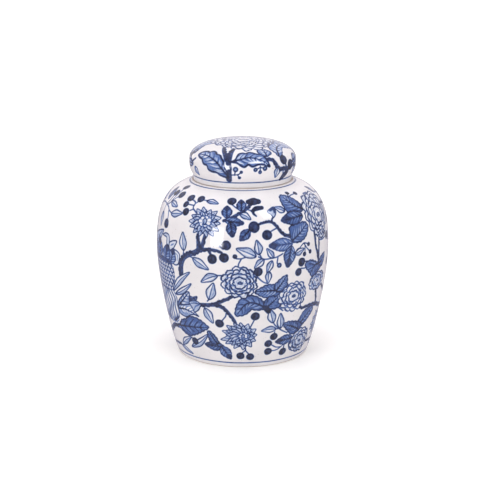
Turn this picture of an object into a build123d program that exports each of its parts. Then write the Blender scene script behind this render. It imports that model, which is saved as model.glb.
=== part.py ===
from build123d import *
import os

# Covered ginger jar in glazed porcelain: a round-bellied jar and a domed cap lid.
# Millimetres, +Z up, origin at the centre of the foot's resting plane.
# Both pieces are bodies of revolution about Z, drawn as half sections of (radius, height).

# Belly and shoulder, outside
belly_radius = 82.5
belly_height = 103.9
belly_handle_below = 30.9
belly_handle_above = 30.3
shoulder_end = (48.8, 167.8)
shoulder_handle = (79.4, 159.7)

# Foot ring
foot_outer_radius = 61.6
foot_inner_radius = 55.0
heel = (63.5, 3.6)
heel_handle = (68.5, 13.6)
base_underside = 4.5
recess_radius = 53.0

# Inside of the jar
wall = 5.0
floor_height = 9.5
floor_radius = 46.0
floor_handle = (66.0, 9.5)
inner_belly_handle = 41.9
inner_shoulder_end = (46.0, 163.2)
inner_shoulder_handle = (74.5, 155.7)
inner_shoulder_rise = 28.1
neck_curve_handles = [(41.5, 164.4), (37.5, 166.0)]

# Seat for the lid and the upright neck that the lid drops over
seat_height = 168.8
seat_radius = 47.6
neck_outer_radius = 41.8
neck_inner_radius = 37.5
neck_straight_low = 171.0
neck_straight_top = 182.5

# Lid: an upright band below a waist, a bulging side and a flattened dome
band_radius = 47.0
band_edge_radius = 0.7
waist = (47.1, 173.7)
waist_handle = (50.6, 179.4)
bulge_radius = 50.7
bulge_height = 188.4
bulge_handle_below = 5.9
bulge_handle_above = 9.6
lid_top = 206.3
dome_handle = 38.4
lid_wall = 4.3
lid_bore_radius = 43.2
lid_bore_top = 174.5
lid_bore_handle = 4.5
inner_bulge_height = 187.0
inner_bulge_handle_below = 4.0
inner_bulge_handle_above = 9.0
inner_dome_handle = 36.0


def half_section(edges):
    """Close the edges into a face on the XZ plane and spin it about Z."""
    with BuildPart() as piece:
        with BuildSketch(Plane.XZ):
            with BuildLine():
                for edge in edges:
                    add(edge)
            make_face()
        revolve(axis=Axis.Z)
    return piece.part


def jar_foot():
    """Resting face, the heel that rolls in below the wall, and the recessed underside."""
    recess_edge = (recess_radius, base_underside)
    ring_inside = (foot_inner_radius, 0)
    ring_outside = (foot_outer_radius, 0)
    heel_roll = (heel[0] - 0.2, heel[1] * 0.4)
    return [
        Line((0, base_underside), recess_edge),
        Line(recess_edge, ring_inside),
        Line(ring_inside, ring_outside),
        Bezier(ring_outside, heel_roll, heel),
    ]


def jar_outside():
    """Wall from the heel to the belly and over the shoulder to the small step at the seat."""
    belly = (belly_radius, belly_height)
    below = (belly_radius, belly_height - belly_handle_below)
    above = (belly_radius, belly_height + belly_handle_above)
    seat_edge = (seat_radius, seat_height)
    step_corner = (shoulder_end[0], seat_height)
    return [
        Bezier(heel, heel_handle, below, belly),
        Bezier(belly, above, shoulder_handle, shoulder_end),
        Bezier(shoulder_end, step_corner, seat_edge),
    ]


def jar_neck():
    """Flat seat, upright neck and its rounded rim."""
    neck_foot = (neck_outer_radius, seat_height)
    rim_outside = (neck_outer_radius, neck_straight_top)
    rim_inside = (neck_inner_radius, neck_straight_top)
    rim_radius = (neck_outer_radius - neck_inner_radius) / 2
    rim_crown = (neck_inner_radius + rim_radius, neck_straight_top + rim_radius)
    return [
        Line((seat_radius, seat_height), neck_foot),
        Line(neck_foot, rim_outside),
        ThreePointArc(rim_outside, rim_crown, rim_inside),
        Line(rim_inside, (neck_inner_radius, neck_straight_low)),
    ]


def jar_inside():
    """Inner wall from the neck down past the belly to the rounded corner of the floor."""
    neck_low = (neck_inner_radius, neck_straight_low)
    inner_belly = (belly_radius - wall, belly_height)
    above = (belly_radius - wall, belly_height + inner_shoulder_rise)
    below = (belly_radius - wall, belly_height - inner_belly_handle)
    floor_edge = (floor_radius, floor_height)
    shoulder_side, neck_side = neck_curve_handles
    return [
        Bezier(neck_low, neck_side, shoulder_side, inner_shoulder_end),
        Bezier(inner_shoulder_end, inner_shoulder_handle, above, inner_belly),
        Bezier(inner_belly, below, floor_handle, floor_edge),
        Line(floor_edge, (0, floor_height)),
        Line((0, floor_height), (0, base_underside)),
    ]


def lid_outside():
    """Bare resting edge, upright band, waist, bulging side and dome."""
    edge_start = (band_radius - band_edge_radius, seat_height)
    edge_end = (band_radius, seat_height + band_edge_radius)
    bulge = (bulge_radius, bulge_height)
    below = (bulge_radius, bulge_height - bulge_handle_below)
    above = (bulge_radius, bulge_height + bulge_handle_above)
    return [
        Line((lid_bore_radius, seat_height), edge_start),
        Bezier(edge_start, (band_radius, seat_height), edge_end),
        Line(edge_end, waist),
        Bezier(waist, waist_handle, below, bulge),
        Bezier(bulge, above, (dome_handle, lid_top), (0, lid_top)),
    ]


def lid_inside():
    """Hollow of the lid: dome, side and the straight bore that clears the neck."""
    inner_top = lid_top - lid_wall
    inner_bulge_radius = bulge_radius - lid_wall
    inner_bulge = (inner_bulge_radius, inner_bulge_height)
    above = (inner_bulge_radius, inner_bulge_height + inner_bulge_handle_above)
    below = (inner_bulge_radius, inner_bulge_height - inner_bulge_handle_below)
    bore_top = (lid_bore_radius, lid_bore_top)
    bore_side = (lid_bore_radius, lid_bore_top + lid_bore_handle)
    return [
        Line((0, lid_top), (0, inner_top)),
        Bezier((0, inner_top), (inner_dome_handle, inner_top), above, inner_bulge),
        Bezier(inner_bulge, below, bore_side, bore_top),
        Line(bore_top, (lid_bore_radius, seat_height)),
    ]


jar_body = half_section(jar_foot() + jar_outside() + jar_neck() + jar_inside())
lid = half_section(lid_outside() + lid_inside())

os.makedirs("parts", exist_ok=True)
export_step(jar_body, "parts/jar_body.step")
export_step(lid, "parts/lid.step")
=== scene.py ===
import math

import bpy
import numpy as np
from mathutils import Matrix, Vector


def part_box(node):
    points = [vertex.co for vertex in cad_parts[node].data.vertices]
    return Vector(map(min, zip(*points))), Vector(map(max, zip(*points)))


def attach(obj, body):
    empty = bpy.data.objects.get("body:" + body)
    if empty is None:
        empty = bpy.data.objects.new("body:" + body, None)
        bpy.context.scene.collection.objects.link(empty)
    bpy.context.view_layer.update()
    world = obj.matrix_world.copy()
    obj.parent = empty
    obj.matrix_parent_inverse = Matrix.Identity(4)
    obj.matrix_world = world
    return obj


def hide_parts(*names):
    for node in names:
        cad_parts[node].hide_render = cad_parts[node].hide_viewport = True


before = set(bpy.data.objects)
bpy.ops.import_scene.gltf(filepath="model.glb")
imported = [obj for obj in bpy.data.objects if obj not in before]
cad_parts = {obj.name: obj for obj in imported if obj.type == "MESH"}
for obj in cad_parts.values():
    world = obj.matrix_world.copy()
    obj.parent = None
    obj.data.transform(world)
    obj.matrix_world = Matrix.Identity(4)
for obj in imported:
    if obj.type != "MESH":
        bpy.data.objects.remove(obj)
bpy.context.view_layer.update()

# A covered ginger jar in glazed porcelain, painted in cobalt blue.
# Shapes are in millimetres and are scaled to metres when a mesh is made.
# Places on a painted wall are (degrees round from the front, millimetres of climb up the
# surface); places on the crown of the lid are (millimetres right, millimetres back).

METRES = 0.001
jar_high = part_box("jar_body")[1]
lid_low, lid_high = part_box("lid")
BELLY = jar_high[0] / METRES
NECK_TOP = jar_high[2] / METRES
SEAT = lid_low[2] / METRES
BULGE = lid_high[0] / METRES
LID_TOP = lid_high[2] / METRES


# ---- half sections

GLAZE, PLAIN, CLAY = 0, 1, 2
SAMPLES = 600


def travelled(points):
    """The distance along a line of points up to each of them."""
    return np.concatenate([[0], np.cumsum(np.hypot(*np.diff(points, axis=0).T))])


def curve(points, spacing):
    """Points about spacing apart along the Bezier curve of two to four control points."""
    points = np.array(points, float)
    order = len(points) - 1
    t = np.linspace(0, 1, SAMPLES)[:, None]
    path = sum(math.comb(order, k) * (1 - t) ** (order - k) * t**k * points[k] for k in range(order + 1))
    far = travelled(path)
    even = np.linspace(0, far[-1], max(2, round(far[-1] / spacing) + 1))
    return np.stack([np.interp(even, far, path[:, k]) for k in (0, 1)], -1)


def section(start, pieces):
    """Rings, and the finish of each band between two, from (finish, spacing, control points)
    pieces. A piece begins where the last one ends."""
    rings, finishes = [start], []
    for finish, spacing, *points in pieces:
        part = curve([start] + points, spacing)[1:]
        start = points[-1]
        rings.extend(part)
        finishes.extend([finish] * len(part))
    return np.array(rings), np.array(finishes)


EDGE, FINE, BROAD, COARSE = 0.25, 0.5, 1.2, 3.0
RECESS = 4.5
FLOOR = 9.5
INSIDE = BELLY - 5
BELLY_HEIGHT = 103.9
HEEL = (63.5, 3.6)
SHOULDER_END = (48.8, 167.8)
NECK_OUT, NECK_IN = 41.8, 37.5
NECK_ROUND = 182.5

JAR_START = (0, RECESS)
JAR_PIECES = [
    (PLAIN, COARSE, (51.6, RECESS)),
    (PLAIN, EDGE, (52.9, RECESS), (53.3, 3.7)),
    (PLAIN, FINE, (54.7, 0.7)),
    (CLAY, EDGE, (55.0, 0), (55.8, 0)),
    (CLAY, BROAD, (60.9, 0)),
    (CLAY, EDGE, (61.9, 0), (62.3, 0.75)),
    (GLAZE, EDGE, (63.1, 2.1), HEEL),
    (GLAZE, FINE, (68.5, 13.6), (BELLY, 73.0), (BELLY, BELLY_HEIGHT)),
    (GLAZE, FINE, (BELLY, 134.2), (79.4, 159.7), SHOULDER_END),
    (GLAZE, EDGE, (SHOULDER_END[0], 168.45), (48.35, 168.62)),
    (CLAY, EDGE, (48.1, SEAT), (47.7, SEAT)),
    (CLAY, BROAD, (42.5, SEAT)),
    (CLAY, EDGE, (NECK_OUT, SEAT), (NECK_OUT, SEAT + 0.7)),
    (CLAY, COARSE, (NECK_OUT, 179.5)),
    (PLAIN, 1.0, (NECK_OUT, NECK_ROUND)),
    (PLAIN, EDGE, (NECK_OUT, NECK_TOP + 0.7), (NECK_IN, NECK_TOP + 0.7), (NECK_IN, NECK_ROUND)),
    (PLAIN, COARSE, (NECK_IN, 171.0)),
    (PLAIN, 1.5, (NECK_IN, 166.0), (41.5, 164.4), (46.0, 163.2)),
    (PLAIN, COARSE, (74.5, 155.7), (INSIDE, 132.0), (INSIDE, BELLY_HEIGHT)),
    (PLAIN, COARSE, (INSIDE, 62.0), (66.0, FLOOR), (46.0, FLOOR)),
    (PLAIN, COARSE, (0, FLOOR)),
]

BORE = 43.2
LID_INSIDE = BULGE - 4.3
LID_CEILING = LID_TOP - 4.3
LID_FOOT = SEAT + 0.7
WAIST = (47.1, 173.7)

LID_START = (0, LID_CEILING)
LID_PIECES = [
    (PLAIN, COARSE, (36.0, LID_CEILING), (LID_INSIDE, 196.0), (LID_INSIDE, 187.0)),
    (PLAIN, 1.5, (LID_INSIDE, 183.0), (BORE, 179.0), (BORE, 174.5)),
    (PLAIN, BROAD, (BORE, SEAT + 0.5)),
    (CLAY, EDGE, (BORE, SEAT), (BORE + 0.5, SEAT)),
    (CLAY, 0.8, (46.3, SEAT)),
    (CLAY, EDGE, (46.85, SEAT), (46.95, SEAT + 0.45)),
    (GLAZE, EDGE, (47.0, LID_FOOT), (47.02, SEAT + 1.0)),
    (GLAZE, FINE, WAIST),
    (GLAZE, FINE, (50.6, 179.4), (BULGE, 182.5), (BULGE, 188.4)),
    (GLAZE, FINE, (BULGE, 198.0), (38.4, LID_TOP), (0, LID_TOP)),
]


# ---- the painter: tones run from 0, bare glaze, to 1, the deepest blue

CURVE_STEPS = 5
SOFT = 0.5
LINE = 1.1
DEEP = 0.94


def smooth(points, closed=False):
    """A Catmull-Rom curve through the points."""
    p = np.array(points, float)
    if len(p) < 3:
        return p
    if closed:
        p = np.vstack([p[-1:], p, p[:2]])
    else:
        p = np.vstack([2 * p[0] - p[1], p, 2 * p[-1] - p[-2]])
    t = np.linspace(0, 1, CURVE_STEPS, endpoint=False)[:, None]
    out = []
    for a, b, c, d in zip(p[:-3], p[1:-2], p[2:-1], p[3:]):
        straight = 2 * b + (c - a) * t
        out.append(0.5 * (straight + (2 * a - 5 * b + 4 * c - d) * t**2 + (3 * b - a - 3 * c + d) * t**3))
    out = np.vstack(out)
    return out if closed else np.vstack([out, p[-2:-1]])


class Wall:
    """Cobalt on a wall of revolution: rows climb it, columns go round it from the front."""

    mask = None
    turn = 0.0

    def __init__(self, rings, columns, foot):
        half = len(rings) // 2
        self.radius = rings[:, 0]
        self.climb = travelled(rings)
        self.climb -= np.interp(foot, rings[:half, 1], self.climb[:half])
        self.columns = columns
        self.step = 2 * math.pi / columns
        self.ink = np.zeros((len(rings), columns))
        self.random = np.random.default_rng(7)

    def point(self, place):
        return np.array([math.radians(place[0] + self.turn), place[1]])

    def scale(self, climb):
        """Millimetres along the wall for one unit of each coordinate of a point."""
        return np.array([np.interp(climb, self.climb, self.radius), 1.0])

    def shifted(self, place, across, up):
        """The place across and up millimetres away."""
        climb = place[1] + up
        return place[0] + math.degrees(across / np.interp(climb, self.climb, self.radius)), climb

    def around(self, centre, across, up, angle):
        """The place at an angle on an ellipse about the centre."""
        return self.shifted(centre, across * math.cos(angle), up * math.sin(angle))

    def offset(self, a, b):
        """Millimetres from place a to place b."""
        radius = np.interp((a[1] + b[1]) / 2, self.climb, self.radius)
        return np.array([math.radians(b[0] - a[0]) * radius, b[1] - a[1]])

    def window(self, path, margin):
        """The cells near a path, and a function giving their offsets to a point in millimetres."""
        first, last = np.searchsorted(self.climb, [path[:, 1].min() - margin, path[:, 1].max() + margin])
        rows = np.arange(max(first, 0), min(last, len(self.climb)))
        if not len(rows):
            return None, None
        reach = margin / max(self.radius[rows].min(), 5)
        low = math.floor((path[:, 0].min() - reach) / self.step)
        high = math.ceil((path[:, 0].max() + reach) / self.step)
        across = np.arange(low, high + 1)
        angle = (across * self.step)[None, :]
        climb = self.climb[rows][:, None]
        radius = self.radius[rows][:, None]

        def offsets(p):
            return (p[0] - angle) * radius, np.broadcast_to(p[1] - climb, (len(rows), len(across)))

        return np.ix_(rows, across % self.columns), offsets


class Crown(Wall):
    """The same grid near its top pole, where places are flat (right, back) millimetres."""

    def __init__(self, wall, reach):
        self.first = np.searchsorted(wall.climb, wall.climb[-1] - reach)
        out = (wall.climb[-1] - wall.climb[self.first:])[:, None]
        angle = (np.arange(wall.columns) * wall.step)[None, :]
        self.right, self.back = out * np.sin(angle), -out * np.cos(angle)
        self.ink = wall.ink
        self.random = wall.random

    def point(self, place):
        turn = math.radians(self.turn)
        x, y = place
        return np.array([x * math.cos(turn) - y * math.sin(turn), x * math.sin(turn) + y * math.cos(turn)])

    def scale(self, climb):
        return np.array([1.0, 1.0])

    def shifted(self, place, across, up):
        return place[0] + across, place[1] + up

    def offset(self, a, b):
        return np.array([b[0] - a[0], b[1] - a[1]])

    def window(self, path, margin):
        low, high = path.min(0) - margin, path.max(0) + margin
        near = (self.right > low[0]) & (self.right < high[0]) & (self.back > low[1]) & (self.back < high[1])
        rows, columns = np.nonzero(near)
        if not len(rows):
            return None, None
        right, back = self.right[rows, columns], self.back[rows, columns]
        return (rows + self.first, columns), lambda p: (p[0] - right, p[1] - back)


def share_between(a, b):
    """How far from a to b each cell lies, from 0 to 1; a and b are offsets from the cells."""
    dx, dy = b[0] - a[0], b[1] - a[1]
    return np.clip(-(a[0] * dx + a[1] * dy) / (dx * dx + dy * dy + 1e-9), 0, 1)


def edge_distance(offsets, path, widths=None):
    """Least distance to the path's segments, less the half width there if widths are given."""
    best = None
    for k in range(len(path) - 1):
        a, b = offsets(path[k]), offsets(path[k + 1])
        t = share_between(a, b)
        away = np.hypot(a[0] + t * (b[0] - a[0]), a[1] + t * (b[1] - a[1]))
        if widths is not None:
            away = away - (widths[k] + t * (widths[k + 1] - widths[k])) / 2
        best = away if best is None else np.minimum(best, away)
    return best


def inside(offsets, path):
    """True where a cell lies inside the closed path."""
    odd = None
    for a, b in zip(path, np.roll(path, -1, axis=0)):
        ax, ay = offsets(a)
        bx, by = offsets(b)
        rise = by - ay
        crossed = ((ay > 0) != (by > 0)) & (ax - ay * (bx - ax) / np.where(rise == 0, 1, rise) > 0)
        odd = crossed if odd is None else odd ^ crossed
    return odd


def lay(wall, cells, cover, tone):
    """Brings the cells to the tone, each as far as cover says."""
    if wall.mask is not None:
        cover = cover * wall.mask[cells]
    wall.ink[cells] += cover * (tone - wall.ink[cells])


def frilled(wall, path, depth, span):
    """The closed path with small rounded lobes, depth deep and about span long."""
    middle = path.mean(0)
    scale = wall.scale(middle[1])
    flat = (np.vstack([path, path[:1]]) - middle) * scale
    far = travelled(flat)
    lobes = max(3, round(far[-1] / span))
    even = np.linspace(0, far[-1], lobes * 6, endpoint=False)
    flat = np.stack([np.interp(even, far, flat[:, k]) for k in (0, 1)], -1)
    ahead = np.roll(flat, -1, 0) - np.roll(flat, 1, 0)
    out = np.stack([ahead[:, 1], -ahead[:, 0]], -1) / (np.hypot(*ahead.T)[:, None] + 1e-9)
    x, y = flat.T
    if np.sum(x * np.roll(y, -1) - y * np.roll(x, -1)) < 0:
        out = -out
    lift = depth * (abs(np.sin(math.pi * lobes * even / far[-1])) - 0.6)
    return (flat + out * lift[:, None]) / scale + middle


def stroke(wall, places, widths, tone, closed=False):
    """A brush line through the places. widths is one width or one for each place."""
    points = [wall.point(p) for p in places]
    line = smooth(np.column_stack([points, np.broadcast_to(widths, len(places))]), closed)
    if closed:
        line = np.vstack([line, line[:1]])
    path, widths = line[:, :2], line[:, 2]
    cells, offsets = wall.window(path, max(widths) / 2 + 1)
    if cells is not None:
        lay(wall, cells, np.clip(0.5 - edge_distance(offsets, path, widths) / SOFT, 0, 1), tone)


def patch(wall, places, tone, edge=DEEP, line=LINE, blend=None, frill=None):
    """A closed shape: a wash of tone and an outline. blend is (from, to, tone there).
    Gives back the cells and how far each is covered."""
    path = smooth([wall.point(p) for p in places], closed=True)
    if frill is not None:
        path = frilled(wall, path, *frill)
    cells, offsets = wall.window(path, 1.5)
    if cells is None:
        return None
    depth = edge_distance(offsets, np.vstack([path, path[:1]]))
    depth = np.where(inside(offsets, path), depth, -depth)
    cover = np.clip(0.5 + depth / SOFT, 0, 1)
    wash = tone
    if blend is not None:
        start, end, far_tone = blend
        wash = tone + (far_tone - tone) * share_between(offsets(wall.point(start)), offsets(wall.point(end)))
    lay(wall, cells, cover, wash)
    lay(wall, cells, np.clip(0.5 + (line / 2 - abs(depth)) / SOFT, 0, 1), edge)
    return cells, cover


def keep_within(wall, covered):
    """Later strokes only mark the cells that patch gave back; None lifts that again."""
    wall.mask = None
    if covered is not None:
        cells, cover = covered
        wall.mask = np.zeros(wall.ink.shape)
        wall.mask[cells] = cover


# ---- motifs: most run from a base to a tip, and widths are in millimetres

MIDRIB = (0.0, 0.25, 0.5, 0.75, 0.96)
PALE = 0.26


def along(wall, base, tip, rows):
    """Places at (share of the way from base to tip, millimetres to the left) pairs."""
    way = wall.offset(base, tip)
    length = math.hypot(*way)
    ahead = way / length
    left = np.array([-ahead[1], ahead[0]])
    return [wall.shifted(base, *(ahead * share * length + left * aside)) for share, aside in rows]


def midrib(bend=0.0):
    """Pairs along a midrib that bows bend millimetres to the left."""
    return [(s, bend * math.sin(math.pi * s)) for s in MIDRIB]


def almond(half, belly=0.45, bend=0.0):
    """The outline of a leaf blade as (share, aside) pairs: pointed at both ends."""
    right = [(0.0, 0.0), (0.16, 0.62), (belly, 1.0), (0.76, 0.62), (1.0, 0.0)]
    rows = [(s, -w * half + bend * math.sin(math.pi * s)) for s, w in right]
    return rows + [(s, w * half + bend * math.sin(math.pi * s)) for s, w in right[-2:0:-1]]


def light_leaf(wall, base, tip, width, bend=0.0):
    """A pale leaf: outline, pale wash with a bare stripe, and a midrib."""
    length = math.hypot(*wall.offset(base, tip))
    shape = almond(width / 2, bend=bend)
    shape[4] = (1 + 0.9 / length, shape[4][1])
    keep_within(wall, patch(wall, along(wall, base, tip, shape), PALE, blend=(base, tip, PALE * 0.7)))
    arc = midrib(bend)
    for aside, wide, shade in ((0.2, 1.0, 0.02), (-0.3, 0.8, PALE + 0.14)):
        side = [(s, middle + aside * width * math.sin(math.pi * s)) for s, middle in arc[1:]]
        stroke(wall, along(wall, base, tip, side), wide, shade)
    stroke(wall, along(wall, base, tip, arc), [1.0, 0.9, 0.8, 0.7, 0.5], 0.84)
    keep_within(wall, None)


def dark_leaf(wall, base, tip, width, tone):
    """A deep blue leaf: a dark rim and heart, with brighter and darker streaks leaning to the tip."""
    half = width / 2
    outline = along(wall, base, tip, almond(half))
    rim = min(tone + 0.26, 0.95)
    keep_within(wall, patch(wall, outline, tone, edge=rim, line=1.2, frill=(0.32, 3.4)))
    arc = along(wall, base, tip, midrib())
    stroke(wall, arc, np.array([0.2, 0.36, 0.3, 0.18, 0.04]) * width, tone + 0.2)
    stroke(wall, along(wall, base, tip, [(0.8, 0), (0.97, 0)]), [0.5 * width, 0.2 * width], 0.84)
    for k in range(8):
        bright = k % 2 == 0
        for side in (-1, 1):
            s = 0.06 + 0.3 * (k + wall.random.uniform(-0.3, 0.3)) / 4
            far = half * wall.random.uniform(0.55, 0.9)
            out = [(s, side * half * 0.12), (s + 0.1, side * far * 0.6), (s + 0.17, side * far)]
            out = along(wall, base, tip, out)
            if bright:
                stroke(wall, out, [0.6, 1.4, 0.5], tone - wall.random.uniform(0.08, 0.32))
            else:
                stroke(wall, out, [0.9, 0.7, 0.4], min(tone, 0.74) + wall.random.uniform(0.1, 0.2))
    stroke(wall, arc, [1.4, 1.2, 1.1, 0.9, 0.5], min(tone + 0.28, 0.96))
    keep_within(wall, None)


def blade(wall, outline, rib, tone, veins=6, light=0.2, frill=(0.7, 4.4), line=1.2):
    """A big blue leaf of any outline: a rib from stalk to tip, veins, bright and dark streaks."""
    wash = (rib[0], rib[-1], tone - 0.04)
    keep_within(wall, patch(wall, outline, tone + 0.08, edge=0.95, line=line, blend=wash, frill=frill))
    spine = smooth(rib)
    lengths = [math.hypot(*wall.offset(a, b)) for a, b in zip(spine[:-1], spine[1:])]
    climbed = np.concatenate([[0], np.cumsum(lengths)])
    edge = smooth(outline, closed=True)
    for k in range(veins * 3):
        far = climbed[-1] * (0.05 + 0.85 * k / (veins * 3 - 1))
        start, beyond = ([np.interp(at, climbed, spine[:, j]) for j in (0, 1)] for at in (far, far + 1.0))
        ahead = wall.offset(start, beyond)
        ahead = ahead / max(math.hypot(*ahead), 0.01)
        bright = k % 3 != 0
        for side in (-1, 1):
            wanted = ahead * 0.62 + side * 0.78 * np.array([-ahead[1], ahead[0]])
            away = np.array([wall.offset(start, q) for q in edge])
            length = np.hypot(*away.T)
            reach = min(length[np.argmax(away @ wanted / (length + 0.1))], 14)
            grow = reach * (wall.random.uniform(0.6, 0.9) if bright else wall.random.uniform(0.8, 0.95))
            vein = []
            for share in (0.15 if bright else 0.0, 0.5, 1.0):
                lean = wanted * (1 - 0.2 * share) + ahead * 0.2 * share
                vein.append(wall.shifted(start, *(lean * grow * share)))
            if bright:
                stroke(wall, vein, [0.6, 1.3, 0.4], tone - light * wall.random.uniform(0.2, 1.4))
            else:
                stroke(wall, vein, [1.1, 1.0, 0.6], min(tone + 0.24, 0.94))
    stroke(wall, rib, np.linspace(1.8, 0.8, len(rib)), 0.96)
    keep_within(wall, None)


def berry(wall, place, size):
    """A dark berry with a darker rim and a soft lighter spot."""
    ring = []
    for k in range(9):
        far = size * wall.random.uniform(0.88, 0.97)
        ring.append(wall.around(place, far, far, 2 * math.pi * k / 9))
    patch(wall, ring, 0.92, edge=1.0, line=1.2)
    dab = wall.shifted(place, -size * 0.35, -size * 0.2)
    stroke(wall, [dab, wall.shifted(dab, 0.4, -size * 0.25)], size * 0.5, 1.0)
    spot = wall.shifted(place, size * 0.3, size * 0.2)
    stroke(wall, [spot, wall.shifted(spot, 0.2, -size * 0.3)], size * 0.4, 0.84)


def bead(wall, place, size):
    """A small round bead with a paler heart."""
    ring = [wall.around(place, size, size, a) for a in (0, 1.05, 2.1, 3.14, 4.2, 5.25)]
    patch(wall, ring, 0.5, edge=0.95, line=1.3)


def stem(wall, places, start, end):
    """A dark line that, where it is thick, has knots and a slightly lighter heart."""
    stroke(wall, places, np.linspace(start, end, len(places)), 0.9)
    if max(start, end) < 2.5:
        return
    path = smooth(places)
    for k in range(2, len(path) - 2, 3):
        size = np.interp(k, [0, len(path) - 1], [start, end])
        aside = wall.random.choice([-1, 1]) * size * 0.42
        knot = along(wall, path[k], path[k + 1], [(0, aside), (1, aside)])
        stroke(wall, knot, size * 0.45, 0.94)
        heart = along(wall, path[k], path[k + 1], [(0, -aside * 0.5), (1, -aside * 0.5)])
        stroke(wall, heart, size * 0.28, 0.76)


def petal(wall, base, tip, width, tone, line=0.9, crease=0.5):
    """One petal: an outline, a wash that fades to its tip and a darker crease from its base."""
    outline = along(wall, base, tip, almond(width / 2, belly=0.6))
    covered = patch(wall, outline, tone * 1.4, line=line, blend=(base, tip, tone * 0.2))
    if crease:
        keep_within(wall, covered)
        aside = width * wall.random.uniform(-0.08, 0.12)
        fold = along(wall, base, tip, [(0.2, aside), (0.55, aside), (0.82, aside * 0.5)])
        stroke(wall, fold, [1.5, 1.1, 0.4], crease)
        keep_within(wall, None)


NOTCHES, NOTCH_STEPS = 7, 4


def chrysanthemum(wall, centre, across, up, petals, heart=(0, 0), rows=(1.0, 0.76), bare=0.4, wash=0.28):
    """Rows of pointed petals round a pale scalloped heart with a bud in it."""
    size = (across + up) / 2
    middle = wall.shifted(centre, *heart)
    for row, reach in enumerate(rows):
        for k in range(petals):
            turn = 2 * math.pi * (k + row / 2 + wall.random.uniform(-0.16, 0.16)) / petals
            far = reach * wall.random.uniform(0.92, 1.07)
            tip = wall.around(centre, across * far, up * far, turn)
            base = wall.around(middle, across * 0.14, up * 0.14, turn)
            wide = size * (0.32 if row else 0.4)
            tone = wash + wall.random.uniform(-0.08, 0.08)
            petal(wall, base, tip, wide, tone, crease=wall.random.uniform(0.45, 0.85))
    steps = NOTCHES * NOTCH_STEPS
    edge = []
    for n in range(steps):
        a = 2 * math.pi * n / steps
        far = bare * (1 - 0.18 * (n % NOTCH_STEPS == 0) + 0.05 * math.sin(2 * a + 1))
        edge.append(wall.around(middle, across * far, up * far, a))
    keep_within(wall, patch(wall, edge, 0.04, edge=0.8, line=1.0))
    for n in range(0, steps, NOTCH_STEPS):
        a = 2 * math.pi * n / steps
        mark = [wall.around(middle, across * far, up * far, a) for far in (0.85 * bare, 0.4 * bare)]
        stroke(wall, mark, [1.3, 0.6], wall.random.uniform(0.25, 0.5))
    keep_within(wall, None)
    low, high = wall.shifted(middle, 0, -0.5 * bare * up), wall.shifted(middle, 0, 0.6 * bare * up)
    cup = [wall.shifted(low, -0.3 * bare * across, 0), wall.shifted(low, 0.35 * bare * across, 0)]
    stroke(wall, cup, 1.5, 0.72)
    petal(wall, low, high, 0.65 * bare * size, 0.24, crease=0.45)


LOBE_STEPS = 6


def rosette(wall, centre, across, up, turn, lobes, eye=(0, 0), edge=0.92, wash=0.42):
    """A peony: wavy rounds of petals inside one another, each with a bare lip and a wash behind it."""
    size = (across + up) / 2
    for level, count in enumerate(lobes):
        inward = level / len(lobes)
        reach = 1 - 0.8 * inward
        middle = wall.shifted(centre, eye[0] * inward, eye[1] * inward)
        swell = wall.random.uniform(-0.05, 0.05, count)
        rim = []
        for n in range(count * LOBE_STEPS):
            a = 2 * math.pi * n / (count * LOBE_STEPS)
            lobe = abs(math.sin(math.pi * n / LOBE_STEPS)) ** 0.8
            bulge = 0.9 + (0.11 + swell[n // LOBE_STEPS]) * lobe + 0.03 * math.sin(3 * a + 2 * level)
            far = reach * bulge + wall.random.uniform(-0.03, 0.03)
            rim.append((far, a + turn + 1.1 * level, lobe))

        def ring(deeper):
            rays = [(far - deeper / size, a) for far, a, lobe in rim]
            return [wall.around(middle, across * far, up * far, a) for far, a in rays]

        keep_within(wall, patch(wall, ring(0), 0.02, edge=edge))
        steps = np.arange(len(rim))
        press = 0.9 + 0.7 * np.sin(steps * 0.29 + 2 * level + turn)
        press = np.maximum(press + wall.random.uniform(-0.6, 0.6, len(rim)), 0.2)
        stroke(wall, ring(0.4), press, edge, closed=True)
        shade = 1.7 + 0.8 * np.sin(steps * 0.37 + level)
        shade = [w * (1.2 - 0.5 * lobe) for w, (far, a, lobe) in zip(shade, rim)]
        stroke(wall, ring(2.7), shade, wash, closed=True)
        for far, a, lobe in rim[::LOBE_STEPS]:
            lean = wall.random.uniform(-0.5, 0.5)
            rays = [(0.98, a), (0.92, a + lean * 0.4), (0.86, a + lean)]
            notch = [wall.around(middle, across * far * r, up * far * r, b) for r, b in rays]
            stroke(wall, notch, [1.4, 1.1, 0.5], edge - wall.random.uniform(0.04, 0.3))
        keep_within(wall, None)
    middle = wall.shifted(centre, *eye)
    dab = [wall.shifted(middle, -0.09 * size, 0), wall.shifted(middle, 0.09 * size, 0)]
    stroke(wall, dab, 0.16 * size, edge - 0.2)
    for a, far in ((0.6, 0.1), (2.6, 0.1), (4.6, 0.08)):
        tip = wall.around(middle, across * far, up * far, a)
        petal(wall, middle, tip, 0.16 * size, 0.3, line=0.8, crease=0)


def fruit_outline(wall, low, high, half, profile):
    """The same on both sides; profile is (shares of the height, shares of the half width)."""
    outline = [(s, -w * half) for s, w in zip(*profile)]
    outline += [(s, -aside) for s, aside in outline[::-1]]
    return along(wall, low, high, outline)


SCALE_ACROSS, SCALE_UP = 5.2, 3.6


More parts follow.
